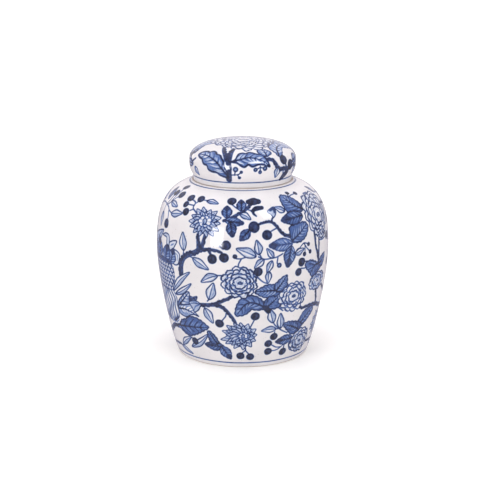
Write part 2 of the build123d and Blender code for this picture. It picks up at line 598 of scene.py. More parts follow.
def scaled_fruit(wall, low, high, half):
    """The round upper part of a fruit, covered in rows of overlapping scales."""
    length = math.hypot(*wall.offset(low, high))
    profile = ([0, 0.2, 0.45, 0.7, 0.9, 1], [0.62, 0.86, 1.0, 1.0, 0.86, 0.66])
    outline = fruit_outline(wall, low, high, half, profile)
    keep_within(wall, patch(wall, outline, 0.35, edge=0.9, line=1.4, frill=(1.1, 4.0)))
    rows = round(length / SCALE_UP)
    for j in range(rows, -2, -1):
        s = j / rows
        for k in range(-5, 6):
            aside = SCALE_ACROSS * (k + (0.5 if j % 2 else 0.0))
            arch = [(-1.5, -2.5), (1.8, -2.2), (3.8, 0), (1.8, 2.2), (-1.5, 2.5)]
            arch = along(wall, low, high, [(s + up / length, aside + out) for up, out in arch])
            tone = wall.random.uniform(0.0, 0.08)
            patch(wall, arch, tone, edge=wall.random.uniform(0.72, 0.88), line=1.2)
            dot = along(wall, low, high, [(s - 0.6 / length, aside), (s + 1.4 / length, aside)])
            stroke(wall, dot, [1.9, 0.8], 0.74)
    keep_within(wall, None)


def ribbed_base(wall, low, high, half):
    """The lower part of the fruit: long wavy ribs that gather to the stalk."""
    profile = ([0, 0.08, 0.35, 0.65, 0.85, 1], [0.4, 0.72, 0.96, 1.0, 0.8, 0.55])
    outline = fruit_outline(wall, low, high, half, profile)
    keep_within(wall, patch(wall, outline, 0.04, edge=0.7, line=1.0, frill=(1.1, 5.0)))
    ribs = []
    for k in range(-4, 5):
        rib = []
        for n in range(7):
            s = 0.02 + 0.16 * n
            rib.append((s, half * k / 4 * np.interp(s, *profile) + 1.3 * math.sin(n * 2.1 + k * 1.3)))
        ribs.append(rib)
    for rib in ribs:
        washed = along(wall, low, high, [(s, aside + 1.6) for s, aside in rib])
        stroke(wall, washed, 1.2, wall.random.uniform(0.25, 0.5))
    for rib in ribs:
        stroke(wall, along(wall, low, high, rib), 1.5, wall.random.uniform(0.8, 0.95))
    keep_within(wall, None)


def dots(wall, stalks, maker):
    """Fine stalks that each end in a small berry or bead."""
    for places, size in stalks:
        stroke(wall, places, 1.1, 0.92)
        maker(wall, places[-1], size)


# ---- the composition on the jar

# places, width at the start and width at the end
JAR_BOUGHS = [
    ([(-44.5, 88), (-44, 97), (-42.5, 103), (-40, 107), (-36, 110), (-32, 112.5), (-29, 116)], 6, 4.6),
    ([(-29.5, 115), (-30, 121), (-30.5, 129)], 4.6, 3.4),
    ([(-28, 115), (-26.5, 122), (-25, 131)], 4.6, 3),
    ([(-30, 114), (-26, 116), (-20, 116.5), (-15, 115.5), (-13, 113)], 4, 2),
    ([(-22, 115), (-20, 110)], 3, 2),
    ([(-15, 120.5), (-12.5, 118.5)], 1.8, 2.2),
    ([(-13, 144), (-8, 147), (-4, 150), (0, 153), (4, 157.5), (6.5, 162)], 3, 3.2),
    ([(11, 141), (14, 142), (17, 142.7), (20, 142), (23, 138), (26, 132), (29, 129), (33, 126.5)], 2.2, 3.2),
    ([(20, 142), (20.5, 145), (22, 147)], 1.6, 1.8),
    ([(-31, 61), (-25, 62), (-19, 63), (-15, 61.5), (-12, 59), (-9, 54), (-6, 48), (-4.5, 42)], 4, 3),
    ([(-19, 64), (-13, 68), (-9, 71), (-6.5, 73)], 3.6, 3),
    ([(55, 127), (56, 113), (58, 105), (60, 95)], 3, 2.6),
    ([(60.5, 119), (60, 107), (60, 97)], 2.8, 2.6),
    ([(60, 70), (62, 63), (63.5, 57), (64, 54)], 3, 3.4),
    ([(43, 57.5), (46, 54), (52, 54), (60, 53.5), (66, 51.5), (72, 49), (80, 46)], 2.5, 4.5),
    ([(68, 72), (74, 66), (80, 61)], 2.5, 4),
    ([(80, 46), (88, 50), (95, 58), (99, 68)], 4.5, 3.6),
    ([(80, 61), (86, 70), (88, 80), (92, 88)], 4, 2.6),
    ([(-55, 31.5), (-63, 31), (-70, 26), (-78, 21), (-90, 22)], 3.6, 5.5),
    ([(62, 14), (72, 13), (82, 14.5), (90, 22)], 2.6, 3.6),
    ([(-61, 11), (-72, 10), (-80, 8)], 2.6, 2.2),
    ([(78, 148), (86, 146), (93, 139), (97, 128)], 2, 3),
]

# the places along each twig
JAR_TWIGS = [
    [(-35, 149), (-39, 153), (-39, 158), (-41, 160), (-45, 161.5)],
    [(-39, 155.5), (-46, 155.5)],
    [(-41, 150), (-38, 151.5), (-35, 149)],
    [(-38, 158.5), (-36.5, 162)],
    [(-36, 162.5), (-30, 162.8)],
    [(-90, 141), (-86, 146), (-80, 149), (-72, 148.5), (-67, 147), (-64, 144.5), (-58, 142.5)],
    [(-64.5, 144), (-62.5, 139), (-62.5, 134)],
    [(-72, 149), (-70, 155), (-70, 160)],
    [(-68.5, 150), (-64, 157), (-61, 161)],
    [(-70, 149), (-66, 153)],
    [(-42, 107), (-41.5, 113)],
    [(-34.5, 107), (-38, 108)],
    [(-9, 161), (-5, 157), (-1, 153.5)],
    [(4, 155), (7, 153.5)],
    [(19, 134), (22.5, 136)],
    [(26.5, 112), (22, 109.5), (19, 109), (14, 108.5), (10, 111)],
    [(12, 110), (10.5, 114)],
    [(23, 109), (22.5, 104), (23.5, 102.5)],
    [(8, 95), (10, 91), (13, 87), (16, 85)],
    [(-4, 109.5), (-1, 109.5), (1, 110.5), (4, 111.5)],
    [(-1, 109), (-2.5, 105), (-3, 101)],
    [(9.5, 100), (9, 103)],
    [(-17.5, 92.5), (-13.5, 93)],
    [(-24.5, 66), (-22.5, 69)],
    [(-14.5, 47.5), (-12, 52), (-11.5, 55)],
    [(8, 48), (5.5, 41)],
    [(2, 19), (2, 16), (-0.5, 13)],
    [(2, 16), (5, 11.5)],
    [(23, 20), (27, 17), (31, 16.5)],
    [(24, 13.5), (28, 14), (32, 17), (34, 20)],
    [(34, 13), (34.5, 19)],
    [(22.5, 44), (24, 41), (27, 37.5), (30, 34.5), (35, 31)],
    [(23, 37), (28, 37)],
    [(24.2, 34), (24, 32)],
    [(25.5, 59), (29, 55.5)],
    [(41, 95), (45, 94.5), (49, 96)],
    [(44, 101), (48, 100)],
    [(60, 117), (66, 116), (71, 117)],
    [(39, 20), (43, 16), (47, 11)],
    [(-40, 22), (-43, 23.5), (-45, 24)],
    [(80, 20), (84, 30), (90, 33)],
    [(78, 91), (79, 97), (84, 101), (89, 101)],
    [(88, 136), (89, 139), (91, 141.5)],
    [(-72.5, 141), (-73, 148.5)],
    [(85, 8), (84.5, 11), (82, 14.5)],
    [(86, 150), (82, 148)],
    [(84, 104), (88, 98), (92, 90)],
    [(97, 128), (93, 122), (86, 120)],
    [(83, 159), (88, 157), (92, 150), (91, 141)],
    [(-67, 153), (-66, 163), (-66.5, 171)],
]

# base, tip, width and, in a leaf that bows, by how much
JAR_LIGHT_LEAVES = [
    ((-34, 106.5), (-23, 98), 8),
    ((-41.5, 112), (-43, 128), 9, 0.5),
    ((-30, 162.5), (-20, 160.5), 5, 0.6),
    ((-59.5, 142.5), (-48, 145.5), 7),
    ((-66, 153), (-56, 150.5), 5.5),
    ((-72.5, 141), (-72, 128), 7),
    ((-2, 151), (5, 146), 6, 0.8),
    ((8.5, 111.2), (-3.5, 118.5), 9, -0.6),
    ((10.5, 113), (9, 125.5), 7.5, -0.4),
    ((20, 109), (16, 117.5), 5.5),
    ((13.5, 108.5), (8, 101), 6.5),
    ((19, 106.5), (16, 96), 6),
    ((17, 96.5), (16.5, 86), 6),
    ((31.5, 151), (25, 155.5), 6.5),
    ((36, 110), (43, 113), 6.5),
    ((-16.5, 92.5), (-27.5, 85), 8, -1),
    ((-23.2, 68), (-19.5, 84), 9.5),
    ((-27, 58.5), (-22, 44.5), 8.5),
    ((22.2, 44), (19, 58), 8),
    ((28.7, 37), (27.5, 52), 7.5),
    ((25, 37), (14.5, 36.5), 6.5, -0.6),
    ((-57, 12), (-44, 23), 6, 1),
    ((-45, 13), (-27, 30), 6.5, -1.5),
    ((-60, 10.5), (-47, 5), 4.5),
    ((-55, 69), (-37, 91.5), 6.5, 1.5),
    ((-53, 66), (-36.5, 80.5), 5.5, -1.2),
    ((39, 19), (49, 8), 8),
    ((79, 149), (72, 154), 6),
    ((86, 120), (79, 112), 7),
    ((89, 101), (83, 92), 7),
    ((84, 30), (78, 40), 7),
    ((72, 12.5), (78, 5.5), 5.5),
    ((-84, 150), (-90, 158), 6),
]

# base, tip, width and tone
JAR_DARK_LEAVES = [
    ((-0.8, 154), (-1.3, 166), 8.5, 0.72),
    ((-11, 147), (-12, 158.5), 9.5, 0.76),
    ((-12, 144.5), (0.8, 142), 8, 0.64),
    ((-8.5, 143), (-6.5, 129.5), 9, 0.8),
    ((4.5, 136), (-1.8, 126.5), 8.5, 0.76),
    ((46, 144.5), (27, 142.5), 13, 0.7),
    ((34, 120.5), (17, 120.5), 12, 0.58),
    ((33, 118), (30, 98.5), 12.5, 0.66),
    ((41.5, 24), (26, 23), 10, 0.7),
    ((-14.5, 19), (-30.5, 19.5), 10, 0.72),
    ((-16.5, 19.5), (-9.8, 6), 10, 0.66),
    ((-75, 153), (-80, 168), 9, 0.66),
    ((83, 159), (77.5, 169.5), 6, 0.72),
    ((95, 62), (84, 57), 9, 0.66),
    ((88, 136), (80, 128), 10, 0.66),
    ((-82, 22), (-88, 36), 9, 0.66),
]

# outline, rib from the stalk and tone
JAR_BLADES = [
    ([(33, 151), (31.5, 160), (33, 167), (36, 169), (41, 166.5), (44, 163), (47, 158), (49, 153), (47, 148),
      (40, 150), (35, 150)],
     [(48, 150), (42, 155), (36, 165)], 0.64),
    ([(33, 136), (40, 137.5), (46, 138), (49, 134), (48, 129), (45, 123.5), (40, 120.5), (34, 122),
      (32.5, 130)],
     [(33, 122), (40, 128), (47, 135)], 0.62),
    ([(45, 99), (50, 100.5), (55, 98), (60, 94.5), (64, 90), (58, 86), (53, 83.5), (50, 88), (46, 94)],
     [(62, 94), (55, 94), (51, 87)], 0.66),
    ([(60, 95), (63, 100), (69.5, 102), (68.5, 95), (65, 90)], [(60, 94), (65, 96), (69, 101)], 0.64),
    ([(44, 39), (46, 44), (49, 49.5), (53, 51.5), (60, 51.5), (61, 46), (56, 40), (50, 35), (45, 33)],
     [(44, 34), (51, 42), (59, 50)], 0.66),
    ([(31, 40), (34, 42.5), (39, 42), (44, 40.5), (48, 38), (50, 35), (46, 30), (40, 28), (36, 32)],
     [(46, 32), (40, 36), (32.5, 40)], 0.66),
    ([(8, 77.5), (12, 81), (16, 83.5), (21, 83), (25, 79), (24, 72), (20, 69.5), (14, 71.5), (10, 74.5)],
     [(25, 77), (17, 77.5), (9, 77.5)], 0.58),
    ([(21, 82), (25, 88), (29.7, 91), (30.3, 85), (30.3, 80), (27, 76), (23, 76)],
     [(22, 76), (25.5, 82), (29.5, 90)], 0.57),
    ([(-5, 53.5), (-4.8, 60), (-3, 67), (0, 72), (4, 73.5), (8, 73.2), (12, 70), (15, 65), (16, 61), (14, 59),
      (10, 58.5), (6, 59.5), (4, 56.5), (1, 54), (-2, 53)],
     [(16, 60.5), (8, 66), (2, 65), (-3.5, 55)], 0.64),
    ([(14.5, 66), (18, 71.5), (23.5, 71), (25, 66), (26.5, 61), (22, 58.5), (18, 59.5), (15, 62)],
     [(16, 60), (20, 65), (24, 70)], 0.64),
    ([(-61, 32), (-55, 34.5), (-51, 40), (-46, 42.5), (-42, 46), (-37, 46.7), (-32, 45), (-28, 41.5),
      (-25.5, 38), (-30, 34), (-35, 30), (-40, 27), (-45, 25), (-50, 26.5), (-55, 30)],
     [(-62, 31.5), (-50, 34), (-38, 36), (-26, 38)], 0.68),
    ([(-26, 35), (-22, 31.5), (-19.5, 27), (-18.5, 22), (-24, 21.5), (-27, 29)],
     [(-19, 21), (-22.5, 27), (-25.5, 34)], 0.68),
]

# place and radius
JAR_BERRIES = [
    ((-20, 108), 4.4), ((-12, 110), 4.2), ((-10.5, 121.5), 4.2), ((-60, 163), 4), ((-70, 162.5), 3.6),
    ((-46.5, 162.5), 3.8), ((-47.5, 155), 3), ((-44.5, 148), 3.5), ((-36, 163.5), 3.6), ((-63, 132), 4.3),
    ((-8.8, 164.3), 4), ((7.5, 138.5), 5), ((16, 130.7), 4.4), ((9.8, 96.8), 4), ((41.5, 101), 4.0),
    ((39, 92), 3.6), ((-16.8, 44), 4), ((8.8, 52.3), 4), ((24, 29), 3.6), ((20, 22), 3.5),
    ((20.5, 13.3), 3.6), ((34, 10.5), 3.7), ((-40, 20.5), 3.6), ((-1.8, 9.8), 3.6), ((6, 8.7), 3.5),
    ((-5, 111.5), 1.7), ((8.7, 164), 4.2), ((90, 33), 4), ((92, 86), 4), ((-66.5, 172.5), 3.5),
    ((75, 117), 4), ((88, 45), 3.8), ((-86, 92), 4), ((-84, 120), 4), ((78, 91), 3.8), ((85, 8), 3.8),
]

# stalk and the radius of the berry at its end
JAR_DOTS = [
    ([(41, 164.5), (43.5, 170)], 1.8),
    ([(41, 164.5), (45, 166.5), (52, 167.5)], 1.9),
    ([(34, 110), (39, 114), (43.5, 118.5), (48, 116.5)], 1.5),
    ([(43.5, 118.5), (46.5, 113), (49.5, 109)], 1.6),
    ([(44.5, 116.5), (44.5, 111), (44, 108)], 1.8),
    ([(66, 116), (70, 121)], 1.8),
]


def fruit_crown(wall):
    """The crown of leaves and curls at the top of the fruit."""
    patch(wall, [(-80, 106), (-82, 115), (-77, 120.5), (-66, 125), (-67.5, 120), (-70, 115), (-74, 108)], 0.3,
          line=1.2)
    stroke(wall, [(-77, 112), (-73, 118), (-68, 123)], [0.8, 1.0, 0.5], 0.8)
    patch(wall, [(-57, 112), (-56.5, 119), (-58, 122.6), (-62, 123), (-66, 120.5), (-63, 120), (-60, 119),
                 (-60, 113)], 0.2)
    curl = [(-53, 110), (-48.5, 110), (-45.3, 107), (-45.8, 101.5), (-47.3, 97), (-50.5, 96), (-53, 98),
            (-50, 99.5), (-49.3, 102), (-50.5, 105), (-53, 106)]
    patch(wall, curl, 0.1, line=1.2)
    stroke(wall, [(-50, 107.8), (-47.3, 105.5), (-47.6, 100.5)], [0.6, 1.4, 0.6], 0.5)
    patch(wall, [(-56, 109), (-56.5, 115), (-52.5, 118.3), (-48.3, 119), (-50, 114.5), (-53, 109)], 0.12,
          line=1.2)
    stroke(wall, [(-55, 113), (-53, 114.5), (-51, 116)], [0.5, 1.6, 0.5], 0.5)
    leaves = [((-84, 96), (-92, 108), 11), ((-55, 96), (-51.5, 111), 12), ((-79, 96), (-83, 114), 14)]
    leaves += [((-62, 96), (-58.5, 113), 14), ((-71, 96), (-72, 117), 16)]
    for base, tip, width in leaves:
        dark_leaf(wall, base, tip, width, 0.62)
    band = [(-83, 96.5), (-76, 97.5), (-68, 97.5), (-60, 97.5), (-54.5, 96.5)]
    stroke(wall, band, [2.4, 4, 4.4, 4, 2.4], 0.8)


def bell(wall):
    """The bell at the end of the lower bough, with its leaves."""
    upper = [(-51, 55.5), (-50.5, 60), (-46, 66), (-42, 70.8), (-38.8, 72), (-38.8, 68), (-39.5, 63.5),
             (-38.5, 60), (-43, 58), (-47, 56.5)]
    blade(wall, upper, [(-49.5, 57), (-45, 63), (-39.5, 71)], 0.46, veins=4, light=0.36, frill=None)
    small = [(-39.5, 64), (-38.5, 68), (-36, 67.5), (-32.4, 69), (-33.6, 65), (-36, 63.5)]
    blade(wall, small, [(-39, 65), (-36, 66), (-33, 68)], 0.62, veins=2, frill=None)
    lower = [(-51, 55.5), (-46, 57), (-42, 58.5), (-37.5, 60), (-36, 56), (-35.5, 52), (-32.8, 48.5),
             (-37, 49.5), (-41, 47.5), (-45, 45), (-51, 46.5), (-52.5, 50.5)]
    rib = [(-51, 52), (-45, 53), (-39, 51.5), (-34, 49)]
    blade(wall, lower, rib, 0.34, light=0.28, frill=None)
    cup = [(-29.8, 61.5), (-33, 64.2), (-36.5, 64.2), (-39.8, 61.5), (-38.5, 58.5), (-37, 55), (-36, 52.3),
           (-32.5, 55), (-30.8, 58.5)]
    patch(wall, cup, 0.26)
    stroke(wall, [(-31, 61.5), (-35, 61.8), (-38.5, 60.5)], [1.2, 0.9, 0.6], 0.85)
    stroke(wall, [(-31.5, 60.5), (-34.5, 58.5), (-36.2, 54)], [0.9, 1.4, 0.6], 0.62)
    stroke(wall, [(-33, 63), (-36, 63), (-38, 62)], [0.5, 0.8, 0.4], 0.6)


def flowers(wall):
    rosette(wall, (64, 142), 20.5, 23.5, 0.3, (12, 12, 10, 8, 7), (1, -2), edge=0.9, wash=0.2)
    rosette(wall, (61, 77), 15, 9, 0.1, (11, 8))
    rosette(wall, (51, 19), 13.5, 13, 0.3, (11, 9, 7), (0, -1), wash=0.3)
    rosette(wall, (36.5, 68.5), 15.8, 15, 0.2, (13, 11, 9, 7), (0.5, 0), edge=0.84, wash=0.14)
    rosette(wall, (-2, 87), 16.8, 15.5, 0.5, (12, 11, 9, 7), (0.5, -1), wash=0.24)
    chrysanthemum(wall, (-27, 141), 16.5, 14, 14, (0.6, 1.0))
    chrysanthemum(wall, (-2.5, 32), 16.8, 14.8, 13, (3.5, -0.5), (1.02, 0.8, 0.58), 0.26, 0.4)
    chrysanthemum(wall, (74, 31), 13, 13, 12)


def buds(wall):
    stroke(wall, [(5, 163.5), (8.5, 164.2), (12, 163.8)], [6, 8, 6.5], 0.95)
    stroke(wall, [(6.5, 153.5), (10, 156), (14.2, 156.6)], [2.2, 4.8, 4], 0.95)
    stroke(wall, [(8, 155), (7.5, 151.5), (9.5, 148.5)], [2.8, 2.4, 1.4], 0.95)
    patch(wall, [(18, 152.5), (23.5, 156.5), (24.2, 151), (22, 146.5), (20, 149.5)], 0.3, line=1.0)
    stroke(wall, [(20, 153), (23, 154.6), (23.2, 151)], [1.6, 2.6, 1.8], 0.86)
    stroke(wall, [(16.2, 60), (18, 56.5)], [6, 5], 0.95)
    bead(wall, (24, 101.5), 1.8)


def paint_jar_side(wall, turn):
    """One side of the jar; the far side repeats it half a turn on."""
    wall.turn = turn
    for places, start, end in JAR_BOUGHS:
        stem(wall, places, start, end)
    for places in JAR_TWIGS:
        stroke(wall, places, 1.3, 0.82)
    ribbed_base(wall, (-66, 35), (-66, 74), 19)
    scaled_fruit(wall, (-67, 69), (-67, 99), 21)
    for leaf in JAR_LIGHT_LEAVES:
        light_leaf(wall, *leaf)
    for leaf in JAR_DARK_LEAVES:
        dark_leaf(wall, *leaf)
    for leaf in JAR_BLADES:
        blade(wall, *leaf)
    fruit_crown(wall)
    bell(wall)
    flowers(wall)
    buds(wall)
    for place, size in JAR_BERRIES:
        berry(wall, place, size)
    dots(wall, JAR_DOTS, berry)


FOOT_LINE, SEAT_LINE = 1.6, 180.2


def ring_line(wall, climb, width, tone):
    """A line right round the wall, a little uneven as if turned on a wheel."""
    angle = np.arange(wall.columns) * wall.step
    waver = 0.08 * np.sin(3 * angle + 1) + 0.05 * np.sin(11 * angle)
    away = abs(wall.climb[:, None] - climb - waver[None, :])
    cover = np.clip(0.5 + (width / 2 - away) / SOFT, 0, 1)
    wall.ink += cover * (tone - wall.ink)


def paint_jar(wall):
    for turn in (0, 180):
        paint_jar_side(wall, turn)
    ring_line(wall, FOOT_LINE, 1.3, 0.78)
    ring_line(wall, SEAT_LINE, 1.5, 0.8)


# ---- the composition on the lid

# the lists have the same form as the jar's
LID_STEMS = [
    ([(-15, 7.8), (-14.5, 12), (-14.5, 16)], 5.4, 4.8),
    ([(-13.5, 15), (-12.5, 19), (-14, 23)], 1.8, 2.4),
    ([(-15.3, 24), (-15.5, 31), (-15.5, 37), (-14.8, 42.5)], 5.4, 4),
    ([(-18, 27), (-22, 33), (-27, 39), (-32, 45)], 4.4, 3.6),
    ([(28, 27), (34, 26), (38, 21), (41, 17), (48, 16), (55, 15.5), (62, 15)], 3.8, 4),
    ([(62, 15), (70, 17), (78, 15), (86, 18), (94, 17)], 3, 2.6),
    ([(50, 24), (52, 20), (54, 16)], 2, 2),
]

LID_SMALL_BLADES = [
    ([(67, 22), (72, 27), (80, 25.5), (79, 19), (71, 18.5)], [(67, 21), (79, 23)], 0.62),
    ([(-66, 18.5), (-72, 21.5), (-82, 20.5), (-80, 15.5), (-72, 15)], [(-65, 18), (-81, 18)], 0.5),
    ([(-70, 30), (-74, 40), (-84, 42), (-90, 36), (-84, 29), (-76, 27)],
     [(-70, 30), (-80, 35), (-89, 36)], 0.6),
    ([(84, 24), (86, 34), (94, 38), (102, 33), (98, 26), (90, 22)], [(84, 25), (92, 30), (101, 33)], 0.6),
]

LID_BERRIES = [((50, 24.5), 4.6), ((61.5, 18.5), 4.6), ((-78, 26.5), 3.2), ((86, 16), 4.2)]

LID_BEADS = [
    ([(-8.5, 13), (-7.5, 18.5)], 1.9),
    ([(-4, 14), (-1.5, 16)], 0.9),
    ([(-5.5, 13.5), (-3.5, 10.5)], 0.9),
    ([(18.7, 20), (13.5, 18)], 1.4),
    ([(18.7, 21), (18.5, 15.5)], 1.2),
    ([(18.7, 20), (24, 18.7)], 1.7),
]


def lid_big_leaves(wall):
    left = [(-60.5, 29), (-56, 33), (-50, 34.8), (-46, 34), (-42, 36.5), (-37, 35.5), (-33, 32.8), (-28, 32),
            (-24, 28), (-21, 25), (-20.5, 21), (-17, 15), (-16.5, 10.5), (-24, 12), (-28.5, 14.5),
            (-34, 14.8), (-39, 16.5), (-41, 20), (-46, 21), (-50, 25), (-55, 26)]
    rib = [(-16, 12), (-23, 19), (-29, 24), (-37, 27.5), (-46, 29.5), (-59, 29.2)]
    blade(wall, left, rib, 0.52, light=0.36, frill=None, line=1.8)
    right = [(-12, 25.5), (-8, 28), (-5, 35), (0, 36.8), (4, 36), (9, 37.8), (14, 36.2), (18, 34.5),
             (23, 33.5), (26, 30), (28.5, 23), (29.5, 20), (24, 22), (17, 22.8), (10.5, 21), (6, 23),
             (2, 20.8), (-2, 22), (-6, 24.5)]
    rib = [(-11, 26), (-3, 28), (4, 30), (12, 29.5), (22, 26), (29, 20.5)]
    blade(wall, right, rib, 0.56, veins=7, light=0.36, frill=None, line=1.8)
    # a streak of almost bare glaze across the right leaf: a painted highlight, a light's reflection in the
    # glaze painted into the ink, on both sides of the lid
    stroke(wall, [(6, 24.5), (10, 24.8), (15, 25), (20, 24.5)], [0.8, 2.0, 2.0, 0.8], 0.1)
    calyx = [(20.3, 37.5), (22, 41), (27, 43), (32, 42), (36, 39.5), (38.7, 36), (37, 33), (33, 31.5),
             (29, 30), (26, 31), (23.5, 33), (21.5, 35)]
    blade(wall, calyx, [(29, 30), (30, 35), (30, 42)], 0.44, veins=3, light=0.3, frill=None)


def paint_lid_side(wall, turn):
    wall.turn = turn
    for places, start, end in LID_STEMS:
        stem(wall, places, start, end)
    stroke(wall, [(-21, 19), (-18.5, 16.5), (-16, 15.5)], [0.8, 1.8, 2.2], 0.92)
    lid_big_leaves(wall)
    for outline, rib, tone in LID_SMALL_BLADES:
        blade(wall, outline, rib, tone, veins=4, light=0.28, frill=(0.4, 3.4))
    light_leaf(wall, (40, 18), (38, 9.5), 6.5)
    light_leaf(wall, (74, 16), (70, 9), 5.5)
    light_leaf(wall, (-62, 16), (-56, 9.5), 5.5)
    stroke(wall, [(48, 16), (48.5, 11), (51, 9)], 1.4, 0.85)
    stroke(wall, [(47.5, 5.5), (51, 9), (56, 12.5)], [4, 7, 4], 0.97)
    stem(wall, [(-62, 24), (-70, 20), (-78, 26)], 2, 2)
    for place, size in LID_BERRIES:
        berry(wall, place, size)
    stroke(wall, [(-13, 13), (-6, 13.5), (-4, 14)], 1.0, 0.88)
    dots(wall, LID_BEADS, bead)


CROWN_REACH = 62
RIM_LINE = 4.5


def paint_crown(wall):
    """The top of the lid: one open peony with leaves lying out on both sides."""
    crown = Crown(wall, CROWN_REACH)
    for turn in (0, 180):
        crown.turn = turn
        left = [(-50, -8), (-49, -2), (-45, 3), (-36, 7), (-27, 4), (-23, -3), (-25, -10), (-36, -9)]
        blade(crown, left, [(-24, -3), (-36, -1), (-49, -5)], 0.38)
        right = [(24, -22), (26, -28), (31, -32), (35.5, -35), (38, -29), (37, -20), (38, -14), (42, -10),
                 (46, -4), (47, 2), (40, 4), (34, 0), (29, -8), (26, -15)]
        blade(crown, right, [(35, -34), (32, -22), (36, -8), (46, 1)], 0.38, veins=7, light=0.22)
    crown.turn = 0
    rosette(crown, (1, -1), 30, 34, 0.3, (16, 15, 14, 13, 11, 9, 7, 6), edge=0.86, wash=0.12)


def paint_lid(wall):
    for turn in (0, 180):
        paint_lid_side(wall, turn)
    paint_crown(wall)
    ring_line(wall, RIM_LINE, 1.2, 0.86)


# ---- meshes

# the chart lays the painted wall out in two strips, its right half and its left, and the rest in a third
MARGIN = 0.002
SIDE_FOOT, SIDE_HEIGHT, SIDE_STEP = 0.003, 0.462, 0.468
REST_FOOT, REST_HEIGHT = 0.942, 0.054

# taken off the radius, because the unevenness of the pot adds about as much
ALLOWANCE = 0.09


def chart(rings, columns, first, last, row, column, up, over):
    """Where each corner of each face lies on the chart. first and last bound the painted rings."""
    climb = travelled(rings)
    rest = climb - np.clip(climb - climb[first], 0, climb[last] - climb[first])
    share = (climb[row + up] - climb[first]) / (climb[last] - climb[first])
    painted = (row >= first) & (row < last)
    half = columns // 2
    across = np.where(painted, (column % half + over) / half, (column + over) / columns)
    side = SIDE_FOOT + SIDE_STEP * (column // half) + SIDE_HEIGHT * share
    beside = REST_FOOT + REST_HEIGHT * rest[row + up] / rest[-1]
    return np.stack([MARGIN + (1 - 2 * MARGIN) * across, np.where(painted, side, beside)], -1)


def thrown(rings, centre, columns, seed):
    """Points round each ring, with the slight unevenness of a thrown pot."""
    phase = np.random.default_rng(seed).uniform(0, 2 * math.pi, 3)
    angle = np.arange(columns) * 2 * math.pi / columns
    wobble = 0.05 * np.sin(2 * angle + phase[0]) + 0.035 * np.sin(3 * angle + phase[1])
    throwing = 0.03 * np.sin(rings[:, 1] * 0.55 + phase[2])
    radius = rings[:, :1] + wobble[None, :] + throwing[:, None] - ALLOWANCE
    radius[centre] = 0
    height = np.repeat(rings[:, 1:], columns, 1)
    return np.stack([radius * np.sin(angle), -radius * np.cos(angle), height], -1)


def turned(name, start, pieces, columns, foot, painter, materials, seed):
    """Turns a half section on the wheel, paints its glazed outside and makes the mesh."""
    rings, finishes = section(start, pieces)
    glazed = np.nonzero(finishes == GLAZE)[0]
    first, last = glazed[0], glazed[-1] + 1
    wall = Wall(rings[first:last + 1], columns, foot)
    painter(wall)
    ink = np.zeros((len(rings), columns))
    ink[first:last + 1] = wall.ink

    # one vertex stands for the whole of a ring that has closed to a point
    centre = rings[:, 0] < 0.01
    keep = np.ones(ink.shape, bool)
    keep[centre, 1:] = False
    number = np.zeros(ink.shape, int)
    number[keep] = np.arange(keep.sum())
    number[centre] = number[centre, :1]

    # the four corners round each face, less the one that such a point makes double
    row = np.arange(len(rings) - 1)[:, None, None]
    column = np.arange(columns)[None, :, None]
    up, over = np.array([0, 0, 1, 1]), np.array([0, 1, 1, 0])
    corners = number[row + up, (column + over) % columns]
    used = np.ones(corners.shape, bool)
    used[centre[:-1], :, 1] = False
    used[centre[1:], :, 2] = False
    sides = used.sum(-1).ravel()
    places = chart(rings, columns, first, last, row, column, up, over)

    mesh = bpy.data.meshes.new(name)
    mesh.vertices.add(int(keep.sum()))
    mesh.vertices.foreach_set("co", (thrown(rings, centre, columns, seed)[keep] * METRES).ravel())
    mesh.loops.add(int(used.sum()))
    mesh.loops.foreach_set("vertex_index", corners[used])
    mesh.polygons.add(len(sides))
    mesh.polygons.foreach_set("loop_start", np.concatenate([[0], np.cumsum(sides)[:-1]]))
    mesh.polygons.foreach_set("material_index", np.repeat(finishes, columns))
    mesh.update(calc_edges=True)
    mesh.validate()
    mesh.polygons.foreach_set("use_smooth", np.ones(len(sides), bool))
    cobalt = mesh.attributes.new("cobalt", "FLOAT", "POINT")
    cobalt.data.foreach_set("value", ink[keep].astype(np.float32))
    mesh.uv_layers.new(name="OFBake").data.foreach_set("uv", places[used].ravel())
    for material in materials:
        mesh.materials.append(material)
    piece = bpy.data.objects.new(name, mesh)
    bpy.context.collection.objects.link(piece)
    return piece


# ---- materials


def colour(red, green, blue):
    """A display colour out of 255, as the linear colour the shader takes."""
    values = [c / 255 for c in (red, green, blue)]
    return tuple(c / 12.92 if c <= 0.04045 else ((c + 0.055) / 1.055) ** 2.4 for c in values) + (1.0,)


class Nodes:
    """A node tree, and short ways to add nodes to it."""

    def __init__(self, tree):
        self.tree = tree

    def add(self, kind, **settings):
        node = self.tree.nodes.new(kind)
        for key, value in settings.items():
            setattr(node, key, value)
        return node

    def link(self, source, target):
        self.tree.links.new(source, target)

    def put(self, value, socket):
        """Sets the socket to a plain value, or links it to another node's output."""
        if isinstance(value, (float, tuple)):
            socket.default_value = value
        else:
            self.link(value, socket)

    def remap(self, value, low, high, to_low=0.0, to_high=1.0):
        node = self.add("ShaderNodeMapRange")
        self.link(value, node.inputs["Value"])
        for key, number in (("From Min", low), ("From Max", high), ("To Min", to_low), ("To Max", to_high)):
            node.inputs[key].default_value = number
        return node.outputs["Result"]

    def combine(self, operation, first, second):
        node = self.add("ShaderNodeMath", operation=operation)
        self.link(first, node.inputs[0])
        self.link(second, node.inputs[1])
        return node.outputs["Value"]

    def mix(self, share, first, second):
        node = self.add("ShaderNodeMix", data_type="RGBA")
        for socket, value in ((0, share), (6, first), (7, second)):
            self.put(value, node.inputs[socket])
        return node.outputs[2]


